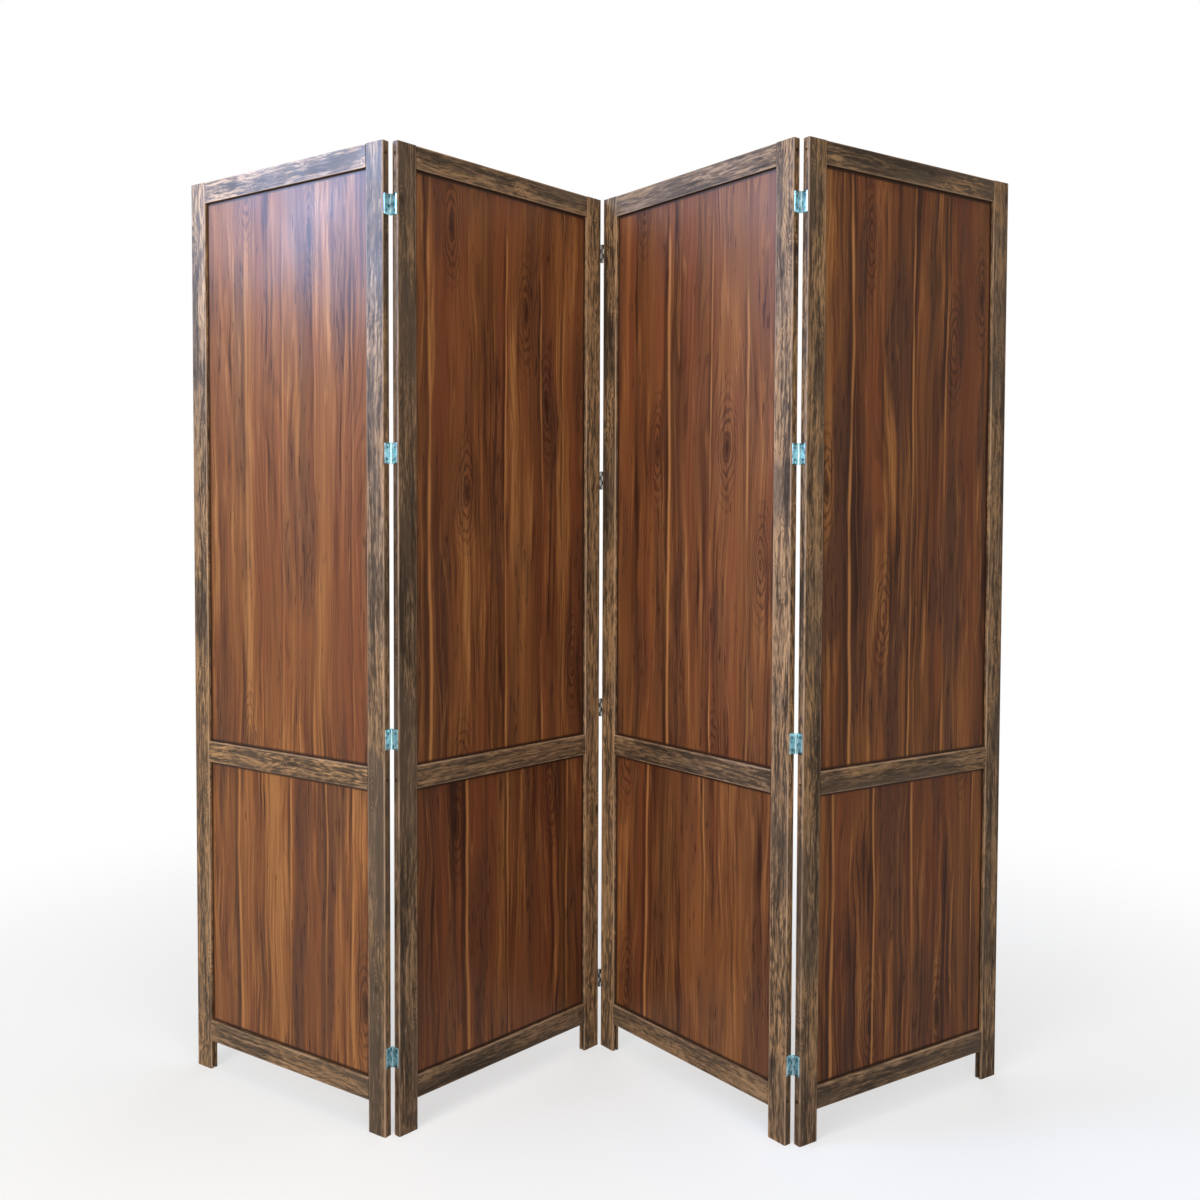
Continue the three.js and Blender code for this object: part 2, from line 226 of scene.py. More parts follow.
def new_group(name, inputs, outputs):
    """An empty shader node group: its nodes, and the sockets at its two ends."""
    tree = bpy.data.node_groups.new(name, "ShaderNodeTree")
    for socket_name, kind in inputs:
        tree.interface.new_socket(socket_name, in_out="INPUT", socket_type=kind)
    for socket_name, kind in outputs:
        tree.interface.new_socket(socket_name, in_out="OUTPUT", socket_type=kind)
    nodes = Nodes(tree)
    given = nodes.add("NodeGroupInput").outputs
    result = nodes.add("NodeGroupOutput").inputs
    return nodes, given, result


def new_material(name):
    material = bpy.data.materials.new(name)
    material.use_nodes = True
    nodes = Nodes(material.node_tree)
    return material, nodes, nodes.first("BSDF_PRINCIPLED").inputs


# ---- Effects shared by several finishes -------------------------------------------------------
#
# Wood reads stock coordinates in metres: X across the stock, Y through it, Z along the grain.
# A pattern's figures are what it adds to its piece's seed, how dense it is across the grain, and
# how many times longer it is along the grain. A slope's figures are where it starts and ends, and
# the values there where they aren't 0 and 1.

GRAIN_LAYERS = {
    "Bands": (11.0, 16.0, 26.0),
    "Streaks": (23.0, 75.0, 30.0),
    "Threads": (35.0, 230.0, 34.0),
    "Fibres": (47.0, 640.0, 18.0),
}
GRAIN_INPUTS = ("Seed", "Sway", "Waver", "Ring Density", "Ring Wander", "Loop Density", "Loop Squeeze")
SWAY_SCALES = (4.0, 4.0, 1.0)
SWAY_DENSITY = 2.0
WAVER_SCALES = (2.5, 2.5, 1.0)
WAVER_DENSITY = 11.0
WAVER_SEED = 3.0
LOOP_SEED = 5.0
LOOP_DETAIL = 2.5
LOOP_ROUGHNESS = 0.45


def make_grain():
    """Growth rings that wander into loops, broad bands, streaks, threads and fine fibres."""
    nodes, given, result = new_group(
        "Grain",
        [("Vector", VECTOR), *((name, FLOAT) for name in GRAIN_INPUTS)],
        [("Vector", VECTOR), ("Rings", FLOAT), *((name, FLOAT) for name in GRAIN_LAYERS)],
    )
    seed = given["Seed"]
    across, through, along = nodes.parts(given["Vector"])
    drift = nodes.noise(nodes.scaled(given["Vector"], SWAY_SCALES), seed, SWAY_DENSITY)
    shift = nodes.centred(drift, given["Sway"])
    wavy = nodes.scaled(given["Vector"], WAVER_SCALES)
    ripple = nodes.noise(wavy, nodes.math("ADD", seed, WAVER_SEED), WAVER_DENSITY)
    wavering = nodes.centred(ripple, given["Waver"])
    swayed = nodes.math("ADD", across, nodes.math("ADD", shift, wavering))
    vector = nodes.vector(swayed, through, along)
    nodes.feed(result["Vector"], vector)

    squeezed = nodes.math("MULTIPLY", along, given["Loop Squeeze"])
    looped = nodes.vector(across, through, squeezed)
    loop_seed = nodes.math("ADD", seed, LOOP_SEED)
    field = nodes.noise(looped, loop_seed, given["Loop Density"], LOOP_DETAIL, LOOP_ROUGHNESS)
    straight = nodes.math("MULTIPLY", swayed, given["Ring Density"])
    phase = nodes.math("MULTIPLY_ADD", field, given["Ring Wander"], straight)
    wave = nodes.math("SINE", nodes.math("MULTIPLY", phase, 2 * math.pi))
    nodes.feed(result["Rings"], nodes.math("MULTIPLY_ADD", wave, 0.5, 0.5))

    for name, figures in GRAIN_LAYERS.items():
        nodes.feed(result[name], nodes.pattern(vector, seed, figures))
    return nodes.tree


WEAR_REACHES = (1.6 * STOCK_ROUNDING, 0.5 * STOCK_ROUNDING)  # in from a face: none, and all
WEAR_SCALES = (1.0, 1.0, 0.12)
WEAR_DENSITY = 60.0
WEAR_DETAIL = 3.0
WEAR_ROUGHNESS = 0.6
WEAR_SLOPE = (0.38, 0.6, 0.25, 1.0)


def make_edge_wear():
    """The stock's four long edges, where its finish is rubbed thin, in broken stretches."""
    nodes, given, result = new_group(
        "Edge wear", [("Vector", VECTOR), ("Seed", FLOAT)], [("Mask", FLOAT)]
    )
    across, through, _ = nodes.parts(given["Vector"])
    corner = 1.0
    for place, half in ((across, STOCK_WIDTH / 2), (through, STOCK_THICKNESS / 2)):
        start, end = (half - reach for reach in WEAR_REACHES)
        near = nodes.ramp(nodes.math("ABSOLUTE", place), start, end)
        corner = nodes.math("MULTIPLY", near, corner)
    drawn_out = nodes.scaled(given["Vector"], WEAR_SCALES)
    patches = nodes.noise(drawn_out, given["Seed"], WEAR_DENSITY, WEAR_DETAIL, WEAR_ROUGHNESS)
    nodes.feed(result["Mask"], nodes.math("MULTIPLY", corner, nodes.ramp(patches, *WEAR_SLOPE)))
    return nodes.tree


LINE_SWAY = 36 * MM
LINE_SWAY_DENSITY = 1.8
LINE_SWAY_DETAIL = 3.5
LINE_STRENGTH_DENSITY = 3.0
LINE_STRENGTH_SLOPE = (0.36, 0.56, 0.12, 1.0)
LINE_LEAST_WIDTH = 0.35  # a line's width where it is faint, as a share of its full width
LINE_EDGE = (0.20, 1.0, 1.0, 0.0)
LINE_SHADOW_OFFSET = 1.9  # from the line's middle to its shadow's, in the line's widths
LINE_SHADOW_EDGE = (0.3, 1.8, 1.0, 0.0)


def make_light_line():
    """One thin light line of sapwood along the grain, tapering in and out, dark along one side."""
    nodes, given, result = new_group(
        "Light line",
        [("Vector", VECTOR), ("Seed", FLOAT), ("Place", FLOAT), ("Width", FLOAT)],
        [("Line", FLOAT), ("Shadow", FLOAT)],
    )
    across, _, along = nodes.parts(given["Vector"])
    height = nodes.vector(z=along)
    swaying = nodes.noise(height, given["Seed"], LINE_SWAY_DENSITY, LINE_SWAY_DETAIL)
    sway = nodes.math("SUBTRACT", swaying, 0.5)
    middle = nodes.math("MULTIPLY_ADD", sway, LINE_SWAY, given["Place"])
    fading = nodes.noise(height, given["Place"], LINE_STRENGTH_DENSITY)
    strength = nodes.ramp(fading, *LINE_STRENGTH_SLOPE)
    share = nodes.math("MULTIPLY_ADD", strength, 1 - LINE_LEAST_WIDTH, LINE_LEAST_WIDTH)
    width = nodes.math("MULTIPLY", given["Width"], share)
    offset = nodes.math("DIVIDE", nodes.math("SUBTRACT", across, middle), width)
    line = nodes.ramp(nodes.math("ABSOLUTE", offset), *LINE_EDGE)
    nodes.feed(result["Line"], nodes.math("MULTIPLY", line, strength))
    beside = nodes.math("ABSOLUTE", nodes.math("ADD", offset, LINE_SHADOW_OFFSET))
    shadow = nodes.ramp(beside, *LINE_SHADOW_EDGE)
    nodes.feed(result["Shadow"], nodes.math("MULTIPLY", shadow, strength))
    return nodes.tree


KNOT_SEED_SHIFT = 0.37  # how far the seed moves the knots across the grain
KNOT_EDGE_SCALES = (1.0, 1.0, 0.4)
KNOT_EDGE_DENSITY = 110.0
KNOT_EDGE_DEPTH = 0.05
KNOT_HALO = (0.05, 0.23, 1.0, 0.0)
KNOT_CORE = (0.022, 0.042, 1.0, 0.0)
KNOT_LINE_DENSITY = 32.0
KNOT_LINE_SLOPE = (-0.1, 0.9)
CORED_SLOPE = (0.45, 0.55)


def make_knots():
    """Scattered small knots, with the grain's lines running round them."""
    nodes, given, result = new_group(
        "Knots",
        [("Vector", VECTOR), ("Seed", FLOAT), ("Density", FLOAT), ("Squeeze", FLOAT)],
        [("Knot", FLOAT), ("Halo", FLOAT), ("Lines", FLOAT)],
    )
    across, _, along = nodes.parts(given["Vector"])
    shifted = nodes.math("MULTIPLY_ADD", given["Seed"], KNOT_SEED_SHIFT, across)
    squeezed = nodes.math("MULTIPLY_ADD", along, given["Squeeze"], given["Seed"])
    cells = nodes.add(
        "ShaderNodeTexVoronoi",
        {"Vector": nodes.vector(shifted, squeezed), "Scale": given["Density"], "Randomness": 1.0},
        voronoi_dimensions="2D",
    )
    drawn_out = nodes.scaled(given["Vector"], KNOT_EDGE_SCALES)
    ragged = nodes.math("SUBTRACT", nodes.noise(drawn_out, given["Seed"], KNOT_EDGE_DENSITY), 0.5)
    distance = nodes.math("MULTIPLY_ADD", ragged, KNOT_EDGE_DEPTH, cells.outputs["Distance"])
    halo = nodes.ramp(distance, *KNOT_HALO)
    wave = nodes.math("SINE", nodes.math("MULTIPLY", distance, 2 * math.pi * KNOT_LINE_DENSITY))
    # Only some of the eyes that the lines run round have a dark knot in the middle.
    cored = nodes.ramp(nodes.parts(cells.outputs["Color"])[0], *CORED_SLOPE)
    core = nodes.ramp(distance, *KNOT_CORE)
    nodes.feed(result["Knot"], nodes.math("MULTIPLY", core, cored))
    nodes.feed(result["Halo"], halo)
    nodes.feed(result["Lines"], nodes.math("MULTIPLY", nodes.ramp(wave, *KNOT_LINE_SLOPE), halo))
    return nodes.tree


SMEAR_DENSITY = 9.0
SMEAR_DETAIL = 4.0
SMEAR_ROUGHNESS = 0.62
SMEAR_SLOPE = (0.3, 0.7, -0.05, 0.06)


def make_handling():
    """Faint smears left by hands and cloths, as a change of roughness."""
    nodes, given, result = new_group(
        "Handling", [("Vector", VECTOR), ("Seed", FLOAT), ("Roughness", FLOAT)], [("Roughness", FLOAT)]
    )
    smears = nodes.noise(given["Vector"], given["Seed"], SMEAR_DENSITY, SMEAR_DETAIL, SMEAR_ROUGHNESS)
    change = nodes.ramp(smears, *SMEAR_SLOPE)
    nodes.feed(result["Roughness"], nodes.math("ADD", given["Roughness"], change))
    return nodes.tree


GRAIN = make_grain()
EDGE_WEAR = make_edge_wear()
LIGHT_LINE = make_light_line()
KNOTS = make_knots()
HANDLING = make_handling()


# ---- Wood finishes ----------------------------------------------------------------------------

BOARD_TONES = (
    (0.06, (0.036, 0.013, 0.008)),
    (0.28, (0.090, 0.031, 0.014)),
    (0.50, (0.180, 0.063, 0.023)),
    (0.70, (0.250, 0.092, 0.030)),
    (0.94, (0.390, 0.165, 0.055)),
)
BOARD_PLUM = (0.092, 0.037, 0.020)
BOARD_RED = (0.200, 0.060, 0.024)
BOARD_GOLD = (0.270, 0.112, 0.036)
SAPWOOD = (0.460, 0.195, 0.065)
BOARD_FLECK = (0.028, 0.010, 0.007)

BOARD_GRAIN = {
    "Sway": 50 * MM, "Waver": 9 * MM, "Ring Density": 90.0, "Ring Wander": 26.0,
    "Loop Density": 7.0, "Loop Squeeze": 0.10,
}
BOARD_KNOTS = {"Density": 5.6, "Squeeze": 0.26}
BOARD_MEAN = 0.51
BAND_WEIGHT = 1.35
DETAIL_WEIGHTS = {"Streaks": 1.45, "Threads": 0.85, "Fibres": 0.24, "Rings": 0.12}
LIVELINESS = (59.0, 13.0, 5.0)
LIVELINESS_SLOPE = (0.40, 0.60, 0.35, 1.45)
HUE = (61.0, 24.0, 20.0)
RED_SLOPE = (0.47, 0.64, 0.0, 0.66)
GOLD_SLOPE = (0.46, 0.32, 0.0, 0.28)
DARK_BANDS = (67.0, 22.0, 10.0)
DARK_BAND_SLOPE = (0.50, 0.62)
RING_SLOPE = (0.55, 1.0)
RINGLESS_SLOPE = (0.60, 0.38)
FLECKS = (71.0, 210.0, 9.0)
FLECK_LEVEL = 0.675
FLECK_DROP = -0.11  # change of that level in the dark bands
FLECK_SLOPE = (0.0, 0.09)
FLECK_DEPTH = 0.6
THIN_LINES = (79.0, 48.0, 40.0)
THIN_LINE_LEVEL = 0.53
THIN_LINE_EDGE = (0.002, 0.014, 1.0, 0.0)
# How strongly each mark shows over the wood's tone.
BOARD_MARKS = {
    "plum": 0.60, "ring": 0.36, "fleck": 0.60, "thin line": 0.24, "halo": 0.22, "eye": 0.60, "knot": 0.75,
}


def layer_terms(grain, weights):
    return [(grain[name], weight) for name, weight in weights.items()]


def make_walnut_board():
    """Brown walnut with red and golden stretches, dark bands, thin light lines, flecks and knots."""
    nodes, given, result = new_group(
        "Walnut board",
        [("Vector", VECTOR), ("Seed", FLOAT), ("Lightness", FLOAT), ("Figure", FLOAT)],
        [("Color", COLOUR), ("Height", FLOAT)],
    )
    seed = given["Seed"]
    grain = nodes.group(GRAIN, {"Vector": given["Vector"], "Seed": seed, **BOARD_GRAIN})
    vector = grain["Vector"]
    # Some stretches across the board are calm and others lively.
    stretches = nodes.pattern(vector, seed, LIVELINESS)
    liveliness = nodes.math("MULTIPLY", nodes.ramp(stretches, *LIVELINESS_SLOPE), given["Figure"])
    detail = nodes.weighted(0.0, *layer_terms(grain, DETAIL_WEIGHTS))
    bands = nodes.centred(grain["Bands"], given["Figure"])
    mean = nodes.math("ADD", given["Lightness"], BOARD_MEAN)
    calm = nodes.math("MULTIPLY_ADD", bands, BAND_WEIGHT, mean)
    tone = nodes.math("MULTIPLY_ADD", detail, liveliness, calm)
    colour = nodes.tones(tone, BOARD_TONES)

    hue = nodes.pattern(vector, seed, HUE)
    colour = nodes.mix(nodes.ramp(hue, *RED_SLOPE), colour, BOARD_RED)
    colour = nodes.mix(nodes.ramp(hue, *GOLD_SLOPE), colour, BOARD_GOLD)

    clusters = nodes.pattern(vector, seed, DARK_BANDS)
    dark_band = nodes.ramp(clusters, *DARK_BAND_SLOPE)
    plum = nodes.math("MULTIPLY", dark_band, given["Figure"])
    colour = nodes.laid_over(colour, plum, BOARD_MARKS["plum"], BOARD_PLUM)

    ring = nodes.ramp(grain["Rings"], *RING_SLOPE)
    ring_line = nodes.math("MULTIPLY", ring, nodes.ramp(clusters, *RINGLESS_SLOPE))
    colour = nodes.laid_over(colour, ring_line, BOARD_MARKS["ring"], BOARD_FLECK)

    dashes = nodes.pattern(given["Vector"], seed, FLECKS, detail=1.0)
    threshold = nodes.math("MULTIPLY_ADD", dark_band, FLECK_DROP, FLECK_LEVEL)
    flecks = nodes.ramp(nodes.math("SUBTRACT", dashes, threshold), *FLECK_SLOPE)
    colour = nodes.laid_over(colour, flecks, BOARD_MARKS["fleck"], BOARD_FLECK)

    thin = nodes.math("SUBTRACT", nodes.pattern(vector, seed, THIN_LINES, detail=1.0), THIN_LINE_LEVEL)
    thin_line = nodes.ramp(nodes.math("ABSOLUTE", thin), *THIN_LINE_EDGE)
    colour = nodes.laid_over(colour, thin_line, BOARD_MARKS["thin line"], SAPWOOD)

    knots = nodes.group(KNOTS, {"Vector": vector, "Seed": seed, **BOARD_KNOTS})
    colour = nodes.laid_over(colour, knots["Halo"], BOARD_MARKS["halo"], BOARD_PLUM)
    colour = nodes.laid_over(colour, knots["Lines"], BOARD_MARKS["eye"], BOARD_FLECK)
    colour = nodes.laid_over(colour, knots["Knot"], BOARD_MARKS["knot"], BOARD_FLECK)
    nodes.feed(result["Color"], colour)
    pits = nodes.math("MULTIPLY", flecks, FLECK_DEPTH)
    nodes.feed(result["Height"], nodes.math("SUBTRACT", grain["Fibres"], pits))
    return nodes.tree


FRAME_TONES = (
    (0.10, (0.042, 0.028, 0.018)),
    (0.32, (0.080, 0.052, 0.033)),
    (0.52, (0.133, 0.081, 0.047)),
    (0.70, (0.207, 0.127, 0.072)),
    (0.90, (0.362, 0.224, 0.125)),
)
FRAME_GREY = (0.114, 0.079, 0.054)
FRAME_TAN = (0.450, 0.255, 0.120)
# The dark of cracks, burrs and knots, which also serves as the painted shade under the rails.
FRAME_DARK_AND_SHADE = (0.036, 0.023, 0.015)
WORN_EDGE = (0.480, 0.320, 0.205)
END_GRAIN = (0.060, 0.040, 0.026)

FRAME_GRAIN = {"Sway": 24 * MM, "Waver": 11 * MM, "Ring Density": 95.0}
FRAME_LOOPS = {"Loop Density": 24.0, "Loop Squeeze": 0.22}
FRAME_KNOTS = {"Density": 8.0, "Squeeze": 0.45}
FRAME_MEAN = 0.45
PATCH_SCALES = (1.0, 1.0, 0.36)
PATCH_SEED = 83.0
PATCH_DENSITY = 14.0
PATCH_WEIGHT = 1.1
CURL_SLOPE = (0.47, 0.60)
CURL_WANDER = 11.0  # added to the rings' wander in a burl
STRAIGHT_WANDER = 6.0
MOTTLE = (107.0, 330.0, 7.0)
MOTTLE_WEIGHT = 1.9
LAYER_WEIGHTS = {"Bands": 0.7, "Streaks": 1.5, "Threads": 1.1, "Fibres": 0.5, "Rings": 0.14}
GREY_SCALES = (1.0, 1.0, 0.2)
GREY_SEED = 89.0
GREY_DENSITY = 16.0
GREY_SLOPE = (0.46, 0.62, 0.0, 0.6)
TAN_SLOPE = (0.48, 0.58, 0.06, 1.0)
BARE_WEIGHTS = {"Streaks": 0.8, "Threads": 0.9, "Rings": -0.10}
BARE_SLOPE = (0.34, 0.66, 0.05, 1.0)
CRACK_SLOPE = (0.35, 1.0)
CRACK_IN_CURL = 0.24
CRACK_OUTSIDE = 0.12
CRACK_DEPTH = 0.8
BURR_SCALES = (1.0, 1.0, 0.13)
BURR_SEED = 97.0
BURR_DENSITY = 85.0
BURR_NOISE = (3.0, 0.62, 0.8)  # its detail, roughness and distortion
BURR_LEVEL = 0.47
BURR_EDGE = (0.0, 0.075, 1.0, 0.0)
PIP_SEED = 101.0
PIP_DENSITY = 260.0
PIP_SLOPE = (0.58, 0.70)
WEAR_SEED = 5.0
FRAME_MARKS = {"burr": 0.42, "eye": 0.50, "knot": 0.80, "wear": 0.65}


def make_frame_wood():
    """Straight grey-brown grain, and tan patches where it curls round small burls."""
    nodes, given, result = new_group(
        "Frame wood",
        [("Vector", VECTOR), ("Seed", FLOAT), ("Tan", FLOAT), ("Burl", FLOAT)],
        [("Color", COLOUR), ("Height", FLOAT)],
    )
    seed = given["Seed"]
    stretched = nodes.scaled(given["Vector"], PATCH_SCALES)
    patches = nodes.noise(stretched, nodes.math("ADD", seed, PATCH_SEED), PATCH_DENSITY)
    patches = nodes.math("ADD", patches, given["Burl"])
    curl = nodes.ramp(patches, *CURL_SLOPE)
    wander = nodes.math("MULTIPLY_ADD", curl, CURL_WANDER, STRAIGHT_WANDER)
    inputs = {"Vector": given["Vector"], "Seed": seed, **FRAME_GRAIN, "Ring Wander": wander, **FRAME_LOOPS}
    grain = nodes.group(GRAIN, inputs)
    vector = grain["Vector"]
    mottle = nodes.pattern(vector, seed, MOTTLE)
    tone = nodes.weighted(
        FRAME_MEAN, (patches, PATCH_WEIGHT), *layer_terms(grain, LAYER_WEIGHTS), (mottle, MOTTLE_WEIGHT),
    )
    colour = nodes.tones(tone, FRAME_TONES)
    grey_vector = nodes.scaled(vector, GREY_SCALES)
    greyness = nodes.noise(grey_vector, nodes.math("ADD", seed, GREY_SEED), GREY_DENSITY)
    colour = nodes.mix(nodes.ramp(greyness, *GREY_SLOPE), colour, FRAME_GREY)

    tan_share = nodes.math("MULTIPLY", nodes.ramp(patches, *TAN_SLOPE), given["Tan"])
    fibrous = nodes.weighted(0.5, *layer_terms(grain, BARE_WEIGHTS), (mottle, 1.0))
    bare = nodes.ramp(fibrous, *BARE_SLOPE)
    colour = nodes.laid_over(colour, tan_share, bare, FRAME_TAN)
    ring_line = nodes.ramp(grain["Rings"], *CRACK_SLOPE)
    cracking = nodes.math("MULTIPLY_ADD", curl, CRACK_IN_CURL, CRACK_OUTSIDE)
    crack = nodes.math("MULTIPLY", ring_line, cracking)
    colour = nodes.mix(crack, colour, FRAME_DARK_AND_SHADE)

    squeezed = nodes.scaled(vector, BURR_SCALES)
    burr = nodes.noise(squeezed, nodes.math("ADD", seed, BURR_SEED), BURR_DENSITY, *BURR_NOISE)
    from_level = nodes.math("ABSOLUTE", nodes.math("SUBTRACT", burr, BURR_LEVEL))
    squiggle = nodes.ramp(from_level, *BURR_EDGE)
    pips = nodes.noise(squeezed, nodes.math("ADD", seed, PIP_SEED), PIP_DENSITY)
    pip = nodes.ramp(pips, *PIP_SLOPE)
    figure = nodes.math("MULTIPLY", nodes.math("MAXIMUM", squiggle, pip), curl)
    colour = nodes.laid_over(colour, figure, FRAME_MARKS["burr"], FRAME_DARK_AND_SHADE)

    knots = nodes.group(KNOTS, {"Vector": vector, "Seed": seed, **FRAME_KNOTS})
    colour = nodes.laid_over(colour, knots["Lines"], FRAME_MARKS["eye"], FRAME_DARK_AND_SHADE)
    colour = nodes.laid_over(colour, knots["Knot"], FRAME_MARKS["knot"], FRAME_DARK_AND_SHADE)
    wear_seed = nodes.math("ADD", seed, WEAR_SEED)
    wear = nodes.group(EDGE_WEAR, {"Vector": given["Vector"], "Seed": wear_seed})["Mask"]
    colour = nodes.laid_over(colour, wear, FRAME_MARKS["wear"], WORN_EDGE)
    nodes.feed(result["Color"], colour)
    grooves = nodes.math("MULTIPLY", crack, CRACK_DEPTH)
    nodes.feed(result["Height"], nodes.math("SUBTRACT", grain["Fibres"], grooves))
    return nodes.tree


WALNUT_BOARD = make_walnut_board()
FRAME_WOOD = make_frame_wood()


def stock_coordinates(nodes, place):
    """Object coordinates turned into a piece's own, whose frame is the matrix place."""
    inputs = {
        "Vector": nodes.add("ShaderNodeTexCoord").outputs["Object"],
        "Location": place.to_translation(),
        "Rotation": place.to_euler(),
    }
    return nodes.add("ShaderNodeMapping", inputs, vector_type="TEXTURE").outputs["Vector"]


FRAME_SPECULAR_TINT = (1.0, 0.76, 0.57)
FRAME_SHEEN = {1: 0.26, 2: 0.17, 3: 0.12, 4: 0.12}  # how strongly each panel's frame shines
FRAME_ROUGHNESS = 0.46
FRAME_RELIEF = 0.10 * MM
BOARD_SPECULAR_TINT = (1.0, 0.87, 0.74)
BOARD_SHEEN = {1: 0.18, 2: 0.17, 3: 0.15, 4: 0.10}
BOARD_ROUGHNESS = 0.34
BOARD_RELIEF = 0.03 * MM


def polish_wood(nodes, shader, wood, vector, seed, sheen_level, tint, roughness, relief):
    """Feeds a wood's sheen and relief to its shader."""
    sheen = nodes.group(HANDLING, {"Vector": vector, "Seed": seed, "Roughness": roughness})
    nodes.feed(shader["Roughness"], sheen["Roughness"])
    nodes.feed(shader["Normal"], nodes.bump(wood["Height"], relief))
    nodes.feed(shader["Specular IOR Level"], sheen_level)
    nodes.feed(shader["Specular Tint"], tint)


END_SLOPE = (0.8, 0.95)
PORE_DENSITY = 900.0
PORE_SLOPE = (0.42, 0.60)
UNDERSIDE_SHADE_SLOPE = (-0.5, -0.9, 0.0, 0.85)


def frame_finish(name, place, seed, sheen_level, tan, burl, end_grain):
    """A frame member's finish. With end_grain its ends show, and otherwise its underside is darkened as
    painted shade.
    """
    material, nodes, shader = new_material(name)
    vector = stock_coordinates(nodes, place)
    wood = nodes.group(FRAME_WOOD, {"Vector": vector, "Seed": seed, "Tan": tan, "Burl": burl})
    colour = wood["Color"]
    normal = nodes.add("ShaderNodeTexCoord").outputs["Normal"]
    upward = nodes.parts(normal)[2]
    if end_grain:
        on_end = nodes.ramp(nodes.math("ABSOLUTE", upward), *END_SLOPE)
        pores = nodes.ramp(nodes.noise(vector, seed, PORE_DENSITY), *PORE_SLOPE)
        colour = nodes.mix(on_end, colour, nodes.mix(pores, END_GRAIN, FRAME_GREY))
    else:
        # Painted shade: faces that look down are darkened, standing in for the shadow under the rails.
        underside_shade = nodes.ramp(upward, *UNDERSIDE_SHADE_SLOPE)
        colour = nodes.mix(underside_shade, colour, FRAME_DARK_AND_SHADE)
    nodes.feed(shader["Base Color"], colour)
    polish_wood(
        nodes, shader, wood, vector, seed, sheen_level, FRAME_SPECULAR_TINT, FRAME_ROUGHNESS, FRAME_RELIEF,
    )
    return material


# How much lighter each board is than the usual tone, how strong its figure is, how light its thin
# lines are, and their places as shares of the visible width.
BOARD_FIGURES = {
    "panel_1_upper_board": (0.06, 1.00, 0.40, (0.26, 0.49, 0.68, 0.91)),
    "panel_1_lower_board": (0.24, 1.30, 0.90, (0.20, 0.52, 0.74, 0.90)),
    "panel_2_upper_board": (0.01, 0.95, 0.90, (0.08, 0.50, 0.72, 0.86)),
    "panel_2_lower_board": (-0.06, 1.10, 0.85, (0.28, 0.52, 0.90)),
    "panel_3_upper_board": (0.00, 0.85, 0.75, (0.36, 0.63, 0.84)),
    "panel_3_lower_board": (-0.04, 0.90, 0.85, (0.22, 0.60)),
    "panel_4_upper_board": (0.03, 1.45, 0.95, (0.16, 0.52, 0.72)),
    "panel_4_lower_board": (0.01, 1.20, 0.90, (0.08, 0.32, 0.55, 0.93)),
}
LINE_WIDTHS = (5.0 * MM, 3.2 * MM, 4.2 * MM, 3.0 * MM)
LINE_SEED_STEP = 3.0
LINE_SHADOW_SHARE = 0.7  # how dark a line's shadow is for its lightness
# Painted shade along each board's edges, where the frame's recess throws its shadow.
BOARD_CORNER_SHADE = (0.030, 0.014, 0.009)
CORNER_SHADE_SHARE = 0.9
CORNER_SHADE_REACH = 7 * MM  # from the frame's edge to where the painted shade ends
CORNER_SHADE_CORE = 2.4 * MM  # and to where it is thickest


def board_finish(name, place, seed, sheen_level):
    """A board's finish, with its own light lines and a painted shade along its edges by the frame."""
    material, nodes, shader = new_material(name)
    vector = stock_coordinates(nodes, place)
    lightness, figure, line_lightness, line_places = BOARD_FIGURES[name]
    inputs = {"Vector": vector, "Seed": seed, "Lightness": lightness, "Figure": figure}
    wood = nodes.group(WALNUT_BOARD, inputs)
    colour = wood["Color"]
    half_width = PANEL_WIDTH / 2 - STOCK_WIDTH
    for count, share in enumerate(line_places):
        line = nodes.group(LIGHT_LINE, {
            "Vector": vector,
            "Seed": seed + LINE_SEED_STEP * count,
            "Place": (2 * share - 1) * half_width,
            "Width": LINE_WIDTHS[count],
        })
        colour = nodes.laid_over(colour, line["Shadow"], LINE_SHADOW_SHARE * line_lightness, BOARD_FLECK)
        colour = nodes.laid_over(colour, line["Line"], line_lightness, SAPWOOD)

    # Painted shade: the board is darkened where it enters the frame, standing in for the shadow in the
    # frame's recess.
    low, high = height_span(name)
    half_height = (high - low) / 2 - GROOVE_BITE
    across, _, along = nodes.parts(vector)
    corner_shade = nodes.math(
        "MAXIMUM",
        nodes.ramp(nodes.math("ABSOLUTE", across), half_width - CORNER_SHADE_REACH, half_width - CORNER_SHADE_CORE),
        nodes.ramp(nodes.math("ABSOLUTE", along), half_height - CORNER_SHADE_REACH, half_height - CORNER_SHADE_CORE),
    )
    colour = nodes.laid_over(colour, corner_shade, CORNER_SHADE_SHARE, BOARD_CORNER_SHADE)
    nodes.feed(shader["Base Color"], colour)
    polish_wood(
        nodes, shader, wood, vector, seed, sheen_level, BOARD_SPECULAR_TINT, BOARD_ROUGHNESS, BOARD_RELIEF,
    )
    return material


def stile_place(number, side):
    """Stock coordinates of a stile: X across it along the panel, Z up."""
    middle = STOCK_WIDTH / 2 if side == "left" else PANEL_WIDTH - STOCK_WIDTH / 2
    return PANEL_PLACES[number] @ Matrix.Translation((middle, STOCK_THICKNESS / 2, 0))


def rail_place(number, level):
    """Stock coordinates of a rail: X upwards across it, Z along the panel."""
    middle = Vector((PANEL_WIDTH / 2, STOCK_THICKNESS / 2, RAIL_HEIGHTS[level]))
    lying = Matrix.Rotation(math.radians(-90), 4, "Y")
    return PANEL_PLACES[number] @ Matrix.Translation(middle) @ lying


def board_place(number, node):
    middle = Vector((PANEL_WIDTH / 2, STOCK_THICKNESS / 2, mid_height(node)))
    return PANEL_PLACES[number] @ Matrix.Translation(middle)


